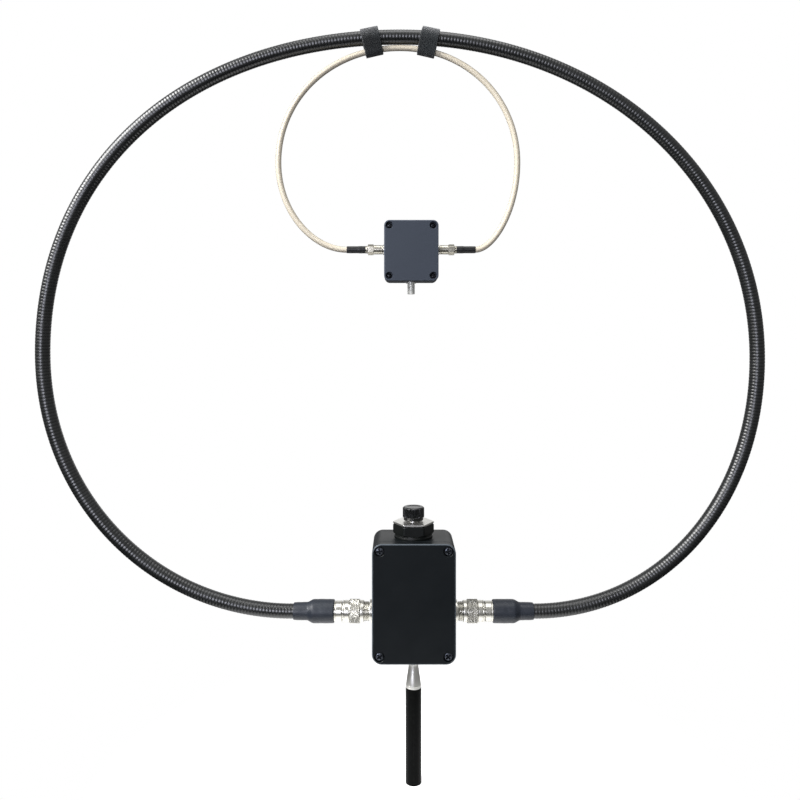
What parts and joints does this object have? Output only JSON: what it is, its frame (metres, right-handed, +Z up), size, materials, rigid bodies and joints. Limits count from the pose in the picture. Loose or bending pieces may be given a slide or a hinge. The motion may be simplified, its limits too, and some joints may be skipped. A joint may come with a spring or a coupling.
{
  "type": "radio loop antenna",
  "caption": "Portable magnetic loop antenna: a ribbed main loop plugged into a tuning box with a top knob, a coupling loop strapped under its crown, and a mast stub below.",
  "frame": {"origin": "centre of the mast's lower end, where it goes into a socket or clamp", "axes": "+Z up along the mast, +X to the right along the loop sockets, the lids face -Y"},
  "size_m": [0.6115, 0.05, 0.6344],
  "materials": {
    "mast_black": "satin black paint",
    "nickel": "bright nickel plate",
    "steel": "bright steel",
    "brass_metal": "turned brass",
    "copper_metal": "bare copper",
    "plate_aluminium": "mill finish",
    "tuner_plastic": "fine moulded texture",
    "coupler_plastic": "fine moulded texture",
    "gland_plastic": "moulded, slightly glossy",
    "knob_black": "black anodised, knurled",
    "screw_black": "blackened steel",
    "seal_rubber": "soft matt",
    "jacket_black": "ribbed, low sheen",
    "shrink_black": "shrunk sleeve, low sheen",
    "strap_fabric": "hook and loop tape",
    "cable_jacket": "clear jacket over silver braid",
    "insulator_white": "turned plastic",
    "stator_ceramic": "unglazed",
    "board_green": "solder mask",
    "ferrite_grey": "matt"
  },
  "bodies": {
    "mast": {"mast_tube": "mast_black", "mast_ferrule": "nickel", "mast_stud": "steel"},
    "tuner": {"tuner_case": "tuner_plastic", "tuner_lid": "tuner_plastic", "tuner_seal": "seal_rubber", "tuner_lid_screws": "screw_black", "mast_insert": "brass_metal", "gland_base": "gland_plastic", "gland_nut": "gland_plastic", "gland_washer": "nickel", "shaft_bushing": "brass_metal", "capacitor_frame": "plate_aluminium", "stator_lower": "plate_aluminium", "stator_upper": "plate_aluminium", "stator_insulators": "stator_ceramic", "link_left": "copper_metal", "link_right": "copper_metal", "jack_left": "nickel", "jack_right": "nickel", "jack_insulators": "insulator_white", "jack_contacts": "brass_metal", "jack_nuts": "nickel"},
    "knob": {"tuning_knob": "knob_black", "knob_set_screw": "screw_black", "rotor_shaft": "steel", "rotor_plates": "plate_aluminium"},
    "loop": {"main_loop_jacket": "jacket_black", "main_loop_conductor": "copper_metal", "plug_left": "nickel", "plug_right": "nickel", "plug_pins": "brass_metal", "plug_insulators": "insulator_white", "sleeve_left": "shrink_black", "sleeve_right": "shrink_black"},
    "left_nut": {"coupling_nut_left": "nickel"},
    "right_nut": {"coupling_nut_right": "nickel"},
    "coupler": {"coupling_cable": "cable_jacket", "strap_left": "strap_fabric", "strap_right": "strap_fabric", "boot_left": "shrink_black", "boot_right": "shrink_black", "coupler_case": "coupler_plastic", "coupler_lid": "coupler_plastic", "coupler_seal": "seal_rubber", "coupler_lid_screws": "screw_black", "coupler_jack_left": "nickel", "coupler_jack_right": "nickel", "feed_jack": "nickel", "coupler_jack_nuts": "nickel", "coupler_jack_insulators": "insulator_white", "coupler_jack_pins": "brass_metal", "coupler_plug_left": "nickel", "coupler_plug_right": "nickel", "junction_board": "board_green", "balun_core": "ferrite_grey", "balun_winding": "copper_metal"},
    "coupler_left_nut": {"coupler_nut_left": "nickel"},
    "coupler_right_nut": {"coupler_nut_right": "nickel"}
  },
  "joints": [
    {"name": "mast_turn", "type": "hinge", "parent": "mast", "child": "tuner", "pos_m": [0, 0, 0.1085], "axis": [0, 0, 1], "continuous": true},
    {"name": "knob_turn", "type": "hinge", "parent": "tuner", "child": "knob", "pos_m": [0, 0, 0.2202], "axis": [0, 0, 1], "range_deg": [-90, 90]},
    {"name": "loop_tilt", "type": "hinge", "parent": "tuner", "child": "loop", "pos_m": [0, 0, 0.1435], "axis": [1, 0, 0], "range_deg": [-90, 90]},
    {"name": "left_nut_turn", "type": "hinge", "parent": "loop", "child": "left_nut", "pos_m": [-0.05, 0, 0.1435], "axis": [1, 0, 0], "continuous": true},
    {"name": "right_nut_turn", "type": "hinge", "parent": "loop", "child": "right_nut", "pos_m": [0.05, 0, 0.1435], "axis": [1, 0, 0], "continuous": true},
    {"name": "coupler_swing", "type": "hinge", "parent": "loop", "child": "coupler", "pos_m": [-0.0113, 0, 0.624], "axis": [1, 0, 0], "range_deg": [-45, 45]},
    {"name": "coupler_left_nut_turn", "type": "hinge", "parent": "coupler", "child": "coupler_left_nut", "pos_m": [-0.0321, 0, 0.44653], "axis": [1, 0, 0], "continuous": true},
    {"name": "coupler_right_nut_turn", "type": "hinge", "parent": "coupler", "child": "coupler_right_nut", "pos_m": [0.0281, 0, 0.44653], "axis": [1, 0, 0], "continuous": true}
  ]
}
